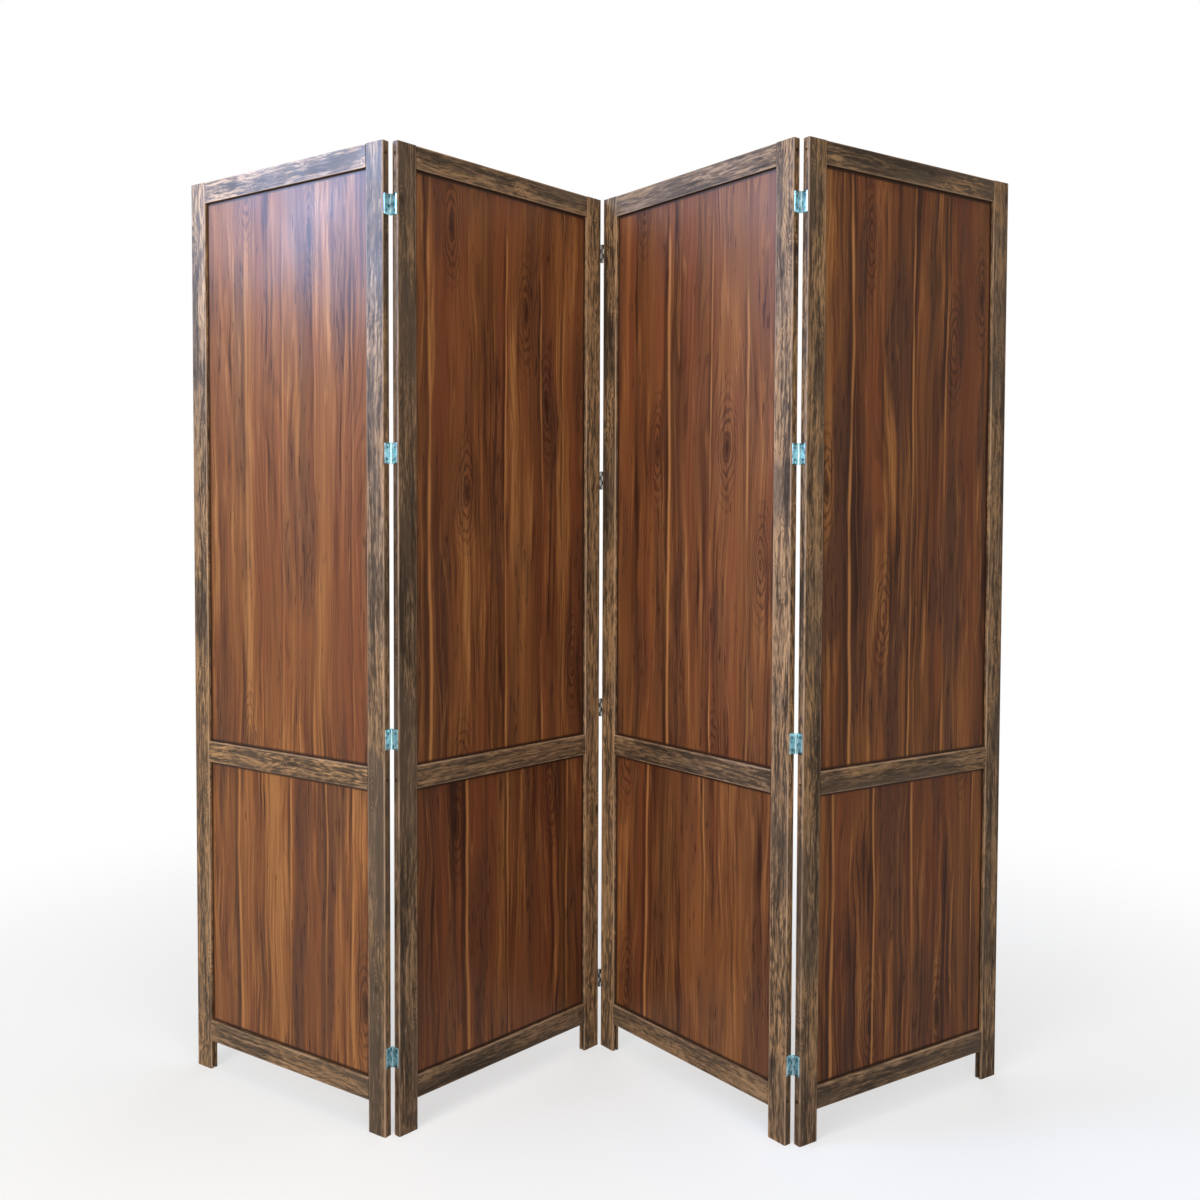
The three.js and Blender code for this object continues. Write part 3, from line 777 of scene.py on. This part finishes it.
# For each panel's frame members: how tan the burls are, up to 1, and how much more or less of the
# member than usual is burl.
STILE_FIGURES = {
    1: {"left": (0.95, 0.10), "right": (0.55, 0.02)},
    2: {"left": (0.25, -0.06), "right": (1.00, 0.13)},
    3: {"left": (0.90, 0.08), "right": (1.00, 0.06)},
    4: {"left": (0.75, 0.00), "right": (0.70, 0.03)},
}
RAIL_FIGURES = {
    1: {"top": (1.00, 0.08), "middle": (1.00, 0.10), "bottom": (0.60, 0.02)},
    2: {"top": (0.55, 0.00), "middle": (0.45, 0.05), "bottom": (0.35, -0.02)},
    3: {"top": (0.60, -0.05), "middle": (0.40, 0.03), "bottom": (0.50, -0.02)},
    4: {"top": (0.70, 0.03), "middle": (0.70, 0.05), "bottom": (0.30, -0.04)},
}
# A piece's seed: where its kind starts, and the steps to the next panel and the next such piece.
WOOD_SEEDS = {"stile": (0.0, 3.7, 1.9), "rail": (20.3, 3.1, 0.9), "board": (40.9, 2.3, 1.1)}


def wood_seed(kind, number, count):
    start, panel_step, piece_step = WOOD_SEEDS[kind]
    return start + panel_step * number + piece_step * count


def finish_node(node, material):
    material_slot = frame["nodes"][node].material_slots[0]
    material_slot.link = "OBJECT"
    material_slot.material = material


def finish_panel(number):
    sheen_level = FRAME_SHEEN[number]
    for count, side in enumerate(("left", "right")):
        node = f"panel_{number}_{side}_stile"
        seed = wood_seed("stile", number, count)
        tan, burl = STILE_FIGURES[number][side]
        place = stile_place(number, side)
        finish_node(node, frame_finish(node, place, seed, sheen_level, tan, burl, end_grain=True))
    for count, level in enumerate(RAIL_HEIGHTS):
        node = f"panel_{number}_{level}_rail"
        seed = wood_seed("rail", number, count)
        tan, burl = RAIL_FIGURES[number][level]
        place = rail_place(number, level)
        finish_node(node, frame_finish(node, place, seed, sheen_level, tan, burl, end_grain=False))
    for count, level in enumerate(("upper", "lower")):
        node = f"panel_{number}_{level}_board"
        seed = wood_seed("board", number, count)
        finish_node(node, board_finish(node, board_place(number, node), seed, BOARD_SHEEN[number]))


# ---- Zinc -------------------------------------------------------------------------------------

ZINC_TONES = (
    (0.20, (0.120, 0.215, 0.245)),
    (0.45, (0.230, 0.375, 0.415)),
    (0.65, (0.340, 0.520, 0.560)),
    (0.90, (0.560, 0.730, 0.760)),
)
# Painted shade: a darker, greyer copy of the zinc tones, for the centre joint's plates down in the valley
# between the panels.
SHADED_ZINC_TONES = (
    (0.20, (0.050, 0.052, 0.050)),
    (0.50, (0.100, 0.104, 0.098)),
    (0.85, (0.230, 0.235, 0.225)),
)
SCREW_TONES = (
    (0.25, (0.055, 0.085, 0.100)),
    (0.55, (0.150, 0.215, 0.240)),
    (0.85, (0.330, 0.420, 0.450)),
)
BLOOM_SEED = 0.0
BLOOM_DENSITY = 110.0
BLOOM_SLOPE = (0.3, 0.7)
BLOOM_POLISH = -0.08  # changes of roughness where the bloom is thin, and where it is thick
BLOOM_HAZE = 0.10
SCRATCH_SEED = 3.0
SCRATCH_SCALES = (1.0, 1.0, 0.08)
SCRATCH_DENSITY = 1800.0
SCRATCH_RELIEF = 0.02 * MM
ZINC_MEAN = 0.55
BLOOM_WEIGHT = 1.3
SCRATCH_WEIGHT = 0.4


def zinc_finish(name, tones, roughness):
    """Zinc in its own tones, with a cloudy bloom and fine drawn scratches."""
    material, nodes, shader = new_material(name)
    coordinates = nodes.add("ShaderNodeTexCoord").outputs["Object"]
    bloom = nodes.noise(coordinates, BLOOM_SEED, BLOOM_DENSITY)
    scratches = nodes.noise(nodes.scaled(coordinates, SCRATCH_SCALES), SCRATCH_SEED, SCRATCH_DENSITY)
    tone = nodes.weighted(ZINC_MEAN, (bloom, BLOOM_WEIGHT), (scratches, SCRATCH_WEIGHT))
    nodes.feed(shader["Base Color"], nodes.tones(tone, tones))
    nodes.feed(shader["Metallic"], 1.0)
    clouded = nodes.ramp(bloom, *BLOOM_SLOPE, roughness + BLOOM_POLISH, roughness + BLOOM_HAZE)
    nodes.feed(shader["Roughness"], clouded)
    nodes.feed(shader["Normal"], nodes.bump(scratches, SCRATCH_RELIEF))
    return material


ZINC = zinc_finish("zinc_plate", ZINC_TONES, roughness=0.30)
SHADED_ZINC = zinc_finish("shaded_zinc_plate", SHADED_ZINC_TONES, roughness=0.40)
SCREW_ZINC = zinc_finish("zinc_screw", SCREW_TONES, roughness=0.38)


# ---- Metal pieces -----------------------------------------------------------------------------

PLATE_CORNER = 1.5 * MM
PLATE_CORNER_STEPS = 4
PLATE_EDGE_ROUNDING = 0.2 * MM
KNUCKLE_WRAP = math.radians(312)
KNUCKLE_STEPS = 28
KNUCKLE_EDGE_ROUNDING = 0.18 * MM
PIN_SIDES = 24
PIN_END_ROUNDING = 0.35 * MM
PIN_END_STEPS = 3
SCREW_SIDES = 24
SCREW_SLOT_DEPTH = 0.6 * MM
HINGE_SCREW_HEAD = {"radius": 2.4 * MM, "slot_reach": 1.5 * MM, "slot_width": 0.6 * MM}
HINGE_SCREW_HOLE = 2.0 * MM
HINGE_SCREW_COUNTERSINK = 0.5 * MM
HINGE_SCREW_SINK = 0.1 * MM
HINGE_SCREW_SHANK = {"radius": 1.1 * MM, "neck": 1.1 * MM, "length": 13 * MM}
FRAME_SCREW_HEAD = {"radius": 2.85 * MM, "slot_reach": 1.8 * MM, "slot_width": 0.75 * MM}
FRAME_SCREW_SHANK = {"radius": 2.0 * MM, "neck": 1.6 * MM, "length": 1.9 * MM}
FRAME_SCREW_TOP = 9.6 * MM  # stile's edge to the screw's head
TINY = MM / 1000
ONE_BY_ONE = 0.5  # a grid's size in Blender is half its width
RIM_ANGLE = 1  # radians, past which the faces at an edge make a rim
SMOOTHING_ANGLE = math.radians(30)


def unique(items):
    """The items in their order, each of them once."""
    return list(dict.fromkeys(items))


def is_level(edge, height):
    return all(abs(vert.co.z - height) < TINY for vert in edge.verts)


def round_over(shape, edges, width, segments=2):
    bmesh.ops.bevel(shape, geom=edges, offset=width, segments=segments, profile=0.5,
                    affect="EDGES", material=-1)


def add_screw(shape, head, shank, matrix):
    """A screw with its head's face at Z 0 and its shank down -Z, and a cross cut in the head."""
    old_faces = set(shape.faces)
    reach, half_slot = head["slot_reach"], head["slot_width"] / 2
    # Nine tiles, whose inner lines are moved to the slot's width: without the corners, a cross.
    grid = bmesh.ops.create_grid(shape, x_segments=3, y_segments=3, size=reach)["verts"]
    for vert in grid:
        for axis in range(2):
            if abs(vert.co[axis]) < reach / 2:
                vert.co[axis] = math.copysign(half_slot, vert.co[axis])
    tiles = [face for face in shape.faces if face not in old_faces]
    corners = [face for face in tiles
               if all(abs(value) > half_slot for value in face.calc_center_median().xy)]
    bmesh.ops.delete(shape, geom=corners, context="FACES")
    slot = [face for face in tiles if face.is_valid]
    mouth = unique(edge for face in slot for edge in face.edges if edge.is_boundary)

    rim = bmesh.ops.create_circle(shape, segments=SCREW_SIDES, radius=head["radius"])["verts"]
    rim_edges = unique(edge for vert in rim for edge in vert.link_edges)
    bmesh.ops.triangle_fill(shape, edges=[*mouth, *rim_edges], use_beauty=True)
    slot_edges = unique(edge for face in slot for edge in face.edges)
    sunk = bmesh.ops.extrude_face_region(shape, geom=[*slot, *slot_edges])["geom"]
    sunk_verts = [item for item in sunk if isinstance(item, bmesh.types.BMVert)]
    bmesh.ops.translate(shape, verts=sunk_verts, vec=(0, 0, -SCREW_SLOT_DEPTH))

    ring = rim_edges
    for drop in (shank["neck"], shank["length"]):
        below = bmesh.ops.extrude_edge_only(shape, edges=ring)["geom"]
        ring = [item for item in below if isinstance(item, bmesh.types.BMEdge)]
        for vert in unique(vert for edge in ring for vert in edge.verts):
            vert.co = Vector((*(vert.co.xy.normalized() * shank["radius"]), -drop))
    bmesh.ops.holes_fill(shape, edges=ring, sides=0)
    faces = [face for face in shape.faces if face not in old_faces]
    verts = unique(vert for face in faces for vert in face.verts)
    bmesh.ops.transform(shape, matrix=matrix, verts=verts)
    return faces


def is_at_hole(edge):
    """Whether an edge of the flat plate lies round one of its screw holes."""
    holes = [Vector((-SCREW_REACH, rise, 0)) for rise in SCREW_RISES]
    return min((edge.verts[0].co - hole).length for hole in holes) < HINGE_SCREW_HOLE + TINY


def add_leaf(shape):
    """A hinge plate's flat part, with rounded far corners and two countersunk screw holes.

    It is drawn flat, its outer face at Z 0, and then stood up beside the pin."""
    width, middle = PLATE_REACH - PLATE_START, -(PLATE_REACH + PLATE_START) / 2
    verts = bmesh.ops.create_grid(shape, x_segments=1, y_segments=1, size=ONE_BY_ONE)["verts"]
    bmesh.ops.scale(shape, vec=(width, HINGE_HEIGHT, 1), verts=verts)
    bmesh.ops.translate(shape, vec=(middle, 0, 0), verts=verts)
    far_corners = [vert for vert in verts if vert.co.x < middle]
    bmesh.ops.bevel(shape, geom=far_corners, offset=PLATE_CORNER, segments=PLATE_CORNER_STEPS,
                    profile=0.5, affect="VERTICES", material=-1)
    bmesh.ops.delete(shape, geom=list(shape.faces), context="FACES_ONLY")
    for rise in SCREW_RISES:
        bmesh.ops.create_circle(shape, segments=SCREW_SIDES, radius=HINGE_SCREW_HOLE,
                                matrix=Matrix.Translation((-SCREW_REACH, rise, 0)))
    bmesh.ops.triangle_fill(shape, edges=list(shape.edges), use_beauty=True)
    below = bmesh.ops.extrude_face_region(shape, geom=list(shape.faces), use_keep_orig=True)["geom"]
    verts = [item for item in below if isinstance(item, bmesh.types.BMVert)]
    bmesh.ops.translate(shape, verts=verts, vec=(0, 0, -PLATE_THICKNESS))
    bmesh.ops.recalc_face_normals(shape, faces=list(shape.faces))

    rims = [edge for edge in shape.edges if is_level(edge, 0) and edge.calc_face_angle(0) > RIM_ANGLE]
    hole_edges = [edge for edge in rims if is_at_hole(edge)]
    outline = [edge for edge in rims if edge not in hole_edges]
    round_over(shape, hole_edges, HINGE_SCREW_COUNTERSINK, segments=1)
    round_over(shape, [edge for edge in outline if edge.is_valid], PLATE_EDGE_ROUNDING)
    # Flat X runs away from the pin along -Y, flat Y up, and the outer face looks along -X.
    outer_face = KNUCKLE_RADIUS - PLATE_THICKNESS
    stood = Matrix(((0, 0, -1, outer_face), (1, 0, 0, 0), (0, 1, 0, 0), (0, 0, 0, 1)))
    bmesh.ops.transform(shape, matrix=stood, verts=list(shape.verts))


def add_knuckle(shape, low, high):
    """The plate's tongue, rolled round the pin."""
    old_verts = set(shape.verts)
    tongue = bmesh.ops.create_grid(shape, x_segments=1, y_segments=1, size=ONE_BY_ONE)["verts"]
    bmesh.ops.scale(shape, vec=(PLATE_THICKNESS, high - low, 1), verts=tongue)
    bmesh.ops.rotate(shape, matrix=Matrix.Rotation(math.pi / 2, 3, "X"), verts=tongue)
    middle = (KNUCKLE_RADIUS - PLATE_THICKNESS / 2, 0, (low + high) / 2)
    bmesh.ops.translate(shape, vec=middle, verts=tongue)
    root = next(iter(tongue[0].link_faces))
    bmesh.ops.spin(shape, geom=[root, *root.edges, *root.verts], cent=(0, 0, 0), axis=(0, 0, 1),
                   angle=KNUCKLE_WRAP, steps=KNUCKLE_STEPS, use_duplicate=False)
    for vert in tongue:
        vert.co.y = -PLATE_START
    new_verts = [vert for vert in shape.verts if vert not in old_verts]
    faces = unique(face for vert in new_verts for face in vert.link_faces)
    bmesh.ops.recalc_face_normals(shape, faces=faces)
    outer = KNUCKLE_RADIUS - PLATE_THICKNESS / 4
    rims = [edge for edge in unique(edge for face in faces for edge in face.edges)
            if (is_level(edge, low) or is_level(edge, high))
            and all(vert.co.xy.length > outer and vert.co.y > -TINY for vert in edge.verts)
            and edge.calc_face_angle(0) > RIM_ANGLE]
    round_over(shape, rims, KNUCKLE_EDGE_ROUNDING)


def add_pin(shape):
    made = bmesh.ops.create_cone(shape, cap_ends=True, segments=PIN_SIDES, radius1=PIN_RADIUS,
                                 radius2=PIN_RADIUS, depth=PIN_LENGTH)["verts"]
    edges = unique(edge for vert in made for edge in vert.link_edges)
    ends = [edge for edge in edges if is_level(edge, PIN_LENGTH / 2) or is_level(edge, -PIN_LENGTH / 2)]
    round_over(shape, ends, PIN_END_ROUNDING, PIN_END_STEPS)


def make_piece(shape, name, number, materials, matrix):
    """Puts a finished shape in place as a piece that moves with its panel."""
    bmesh.ops.recalc_face_normals(shape, faces=list(shape.faces))
    bmesh.ops.transform(shape, matrix=matrix, verts=list(shape.verts))
    mesh = bpy.data.meshes.new(name)
    shape.to_mesh(mesh)
    shape.free()
    mesh.polygons.foreach_set("use_smooth", [True] * len(mesh.polygons))
    mesh.set_sharp_from_angle(angle=SMOOTHING_ANGLE)
    for material in materials:
        mesh.materials.append(material)
    piece = bpy.data.objects.new(name, mesh)
    bpy.context.collection.objects.link(piece)
    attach(piece, f"panel_{number}")
    return piece


# How a hinge plate is turned to lie on a panel's edge: half a turn about the axis named, if any.
PLATE_TURNS = {
    ("left", "back"): None, ("left", "front"): "X", ("right", "back"): "Y", ("right", "front"): "Z",
}
# Turns a screw's face, which looks along +Z, outwards from the plate's outer face, along -X.
SCREW_IN_PLATE = Matrix.Rotation(math.radians(-90), 4, "Y")


def make_hinge_plate(joint, level, kind, number, edge, face):
    """One plate of a hinge, rolled from sheet, with its two screws and, on a pin plate, the pin."""
    node = f"{joint}_{level}_hinge_{kind}"
    turn_axis = PLATE_TURNS[edge, face]
    upside_down = turn_axis in ("X", "Y")
    shape = bmesh.new()
    add_leaf(shape)
    pitch = HINGE_HEIGHT / KNUCKLE_COUNT
    for count in range(0 if kind == "pin_plate" else 1, KNUCKLE_COUNT, 2):
        low = -HINGE_HEIGHT / 2 + count * pitch + KNUCKLE_GAP / 2
        high = low + pitch - KNUCKLE_GAP
        add_knuckle(shape, *((-high, -low) if upside_down else (low, high)))
    if kind == "pin_plate":
        add_pin(shape)
    outer_face = KNUCKLE_RADIUS - PLATE_THICKNESS + HINGE_SCREW_SINK
    for rise in SCREW_RISES:
        matrix = Matrix.Translation((outer_face, -SCREW_REACH, rise)) @ SCREW_IN_PLATE
        for screw_face in add_screw(shape, HINGE_SCREW_HEAD, HINGE_SCREW_SHANK, matrix):
            screw_face.material_index = 1
    matrix = PANEL_PLACES[number] @ Matrix.Translation((*PIN_PLACES[edge, face], mid_height(node)))
    if turn_axis:
        matrix = matrix @ Matrix.Rotation(math.pi, 4, turn_axis)
    # The centre joint's plates take the darker zinc as painted shade for the valley they sit in.
    plate_zinc = SHADED_ZINC if joint == "centre" else ZINC
    piece = make_piece(shape, f"rolled_{node}", number, (plate_zinc, SCREW_ZINC), matrix)
    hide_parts(node)


def make_frame_screw(number, level, side):
    """The head of the screw that holds a rail, at the bottom of its hole in the stile's edge."""
    shape = bmesh.new()
    add_screw(shape, FRAME_SCREW_HEAD, FRAME_SCREW_SHANK, Matrix.Identity(4))
    outwards = -1 if side == "left" else 1
    edge = 0 if side == "left" else PANEL_WIDTH
    place = Vector((edge - outwards * FRAME_SCREW_TOP, STOCK_THICKNESS / 2, RAIL_HEIGHTS[level]))
    facing = Matrix.Rotation(outwards * math.pi / 2, 4, "Y")
    matrix = PANEL_PLACES[number] @ Matrix.Translation(place) @ facing
    make_piece(shape, f"panel_{number}_{level}_rail_{side}_screw", number, (SCREW_ZINC,), matrix)


def make_metal():
    for joint, plates in JOINT_PLATES.items():
        for level in HINGE_LEVELS:
            for plate in plates:
                make_hinge_plate(joint, level, *plate)
    for number in PANEL_HEADINGS:
        for level in RAIL_HEIGHTS:
            for side in ("left", "right"):
                make_frame_screw(number, level, side)


# ---- Studio -----------------------------------------------------------------------------------

FLOOR_SIZE = 24.0
FLOOR_ROUGHNESS = 0.9
FLOOR_WHITE = (0.94, 0.94, 0.94)
FLOOR_BOUNCE = (0.25, 0.25, 0.26)  # what the floor sends back onto the object
BACKGROUND_WHITE = (1.0, 1.0, 1.0)
FLOOR_FADE = (0.8, 2.4)  # distances between which the floor goes over into the white background
FLOOR_HAZE = 0.5  # share of that white in the floor by the object


def seen_rays(nodes):
    """1 for the rays that see or mirror the background, 0 for those that light the object."""
    rays = nodes.add("ShaderNodeLightPath").outputs
    mirrored = nodes.math("MAXIMUM", rays["Is Glossy Ray"], rays["Is Transmission Ray"])
    return nodes.math("MAXIMUM", rays["Is Camera Ray"], mirrored)


def make_floor():
    """A pale floor that takes the object's shadow and goes over into white far away."""
    material, nodes, shader = new_material("studio_floor")
    nodes.feed(shader["Base Color"], nodes.mix(seen_rays(nodes), FLOOR_BOUNCE, FLOOR_WHITE))
    nodes.feed(shader["Roughness"], FLOOR_ROUGHNESS)
    nodes.feed(shader["Specular IOR Level"], 0.0)
    coordinates = nodes.add("ShaderNodeTexCoord").outputs["Object"]
    distance = nodes.add("ShaderNodeVectorMath", {"Vector": coordinates}, operation="LENGTH")
    far = nodes.ramp(distance.outputs["Value"], *FLOOR_FADE, low=FLOOR_HAZE)
    white = nodes.add("ShaderNodeEmission", {"Color": BACKGROUND_WHITE, "Strength": 1.0})
    mix = nodes.add("ShaderNodeMixShader", {"Fac": nodes.math("MULTIPLY", seen_rays(nodes), far)})
    nodes.feed(mix.inputs[1], nodes.first("BSDF_PRINCIPLED").outputs["BSDF"])
    nodes.feed(mix.inputs[2], white.outputs["Emission"])
    nodes.feed(nodes.first("OUTPUT_MATERIAL").inputs["Surface"], mix.outputs["Shader"])

    mesh = bpy.data.meshes.new("studio_floor")
    shape = bmesh.new()
    bmesh.ops.create_grid(shape, x_segments=1, y_segments=1, size=FLOOR_SIZE / 2)
    shape.to_mesh(mesh)
    shape.free()
    mesh.materials.append(material)
    floor = bpy.data.objects.new("studio_floor", mesh)
    bpy.context.collection.objects.link(floor)


AMBIENT_COLOUR = (0.95, 0.97, 1.0)
AMBIENT_STRENGTH = 0.22


def make_world():
    """White where it is seen or mirrored, and a plain dim light on the object."""
    world = bpy.data.worlds.new("studio")
    bpy.context.scene.world = world
    world.use_nodes = True
    nodes = Nodes(world.node_tree)
    ambient = nodes.first("BACKGROUND")
    nodes.feed(ambient.inputs["Color"], AMBIENT_COLOUR)
    nodes.feed(ambient.inputs["Strength"], AMBIENT_STRENGTH)
    white = nodes.add("ShaderNodeBackground", {"Color": BACKGROUND_WHITE, "Strength": 1.0})
    mix = nodes.add("ShaderNodeMixShader", {"Fac": seen_rays(nodes)})
    nodes.feed(mix.inputs[1], ambient.outputs["Background"])
    nodes.feed(mix.inputs[2], white.outputs["Background"])
    nodes.feed(nodes.first("OUTPUT_WORLD").inputs["Surface"], mix.outputs["Shader"])


# Each lamp's place, the point it faces, its size, power and colour, and its spread in degrees.
LAMPS = {
    "key": ((-1.8, -2.5, 1.0), (-0.4, 0, 0.6), (1.5, 1.7), 54, (1.0, 0.98, 0.95), 180),
    "front": ((0.9, -3.2, 1.4), (0.1, 0, 0.8), (2.0, 1.4), 34, (1.0, 0.98, 0.96), 180),
    "overhead": ((0.0, -0.4, 4.2), (0, -0.1, 0), (3.0, 2.4), 84, (1.0, 1.0, 1.0), 180),
    "rear": ((0.7, 3.6, 1.7), (0.1, 0, 0.8), (2.2, 1.6), 26, (0.98, 0.99, 1.0), 180),
    "window": ((-1.32, -0.38, 2.02), (-0.46, -0.12, 1.62), (0.72, 0.72), 10.4, (0.31, 0.49, 0.93), 70),
}


def add_softbox(name, place, target, size, power, colour, spread):
    """A rectangular lamp that the camera doesn't see."""
    lamp = bpy.data.lights.new(name, "AREA")
    lamp.shape = "RECTANGLE"
    lamp.size, lamp.size_y = size
    lamp.energy = power
    lamp.color = colour
    lamp.spread = math.radians(spread)
    light = bpy.data.objects.new(name, lamp)
    light.location = place
    light.rotation_euler = (Vector(target) - Vector(place)).to_track_quat("-Z", "Y").to_euler()
    light.visible_camera = False
    bpy.context.collection.objects.link(light)


def light_studio():
    for name, figures in LAMPS.items():
        add_softbox(name, *figures)


CAMERA_PLACE = Vector((11.17, -2166.75, 1060.57)) * MM
CAMERA_LENS = 35.287
CAMERA_SENSOR = 36
CAMERA_DOWN = math.radians(2.0008)
CAMERA_TURN = math.radians(0.0620)
CAMERA_ROLL = math.radians(0.2149)
CAMERA_SHIFT = -0.0301


def make_camera():
    """A camera that stands where the photograph was taken from, and sees as much."""
    data = bpy.data.cameras.new("camera")
    data.sensor_width = CAMERA_SENSOR
    data.lens = CAMERA_LENS
    data.shift_y = CAMERA_SHIFT
    camera = bpy.data.objects.new("camera", data)
    level = Matrix.Rotation(CAMERA_TURN, 4, "Z") @ Matrix.Rotation(math.pi / 2 - CAMERA_DOWN, 4, "X")
    camera.matrix_world = Matrix.Translation(CAMERA_PLACE) @ level @ Matrix.Rotation(CAMERA_ROLL, 4, "Z")
    bpy.context.collection.objects.link(camera)
    bpy.context.scene.camera = camera


# ---- The whole --------------------------------------------------------------------------------

bpy.context.scene.view_settings.view_transform = "Standard"
for number in PANEL_HEADINGS:
    finish_panel(number)
make_metal()
make_camera()
make_floor()
make_world()
light_studio()
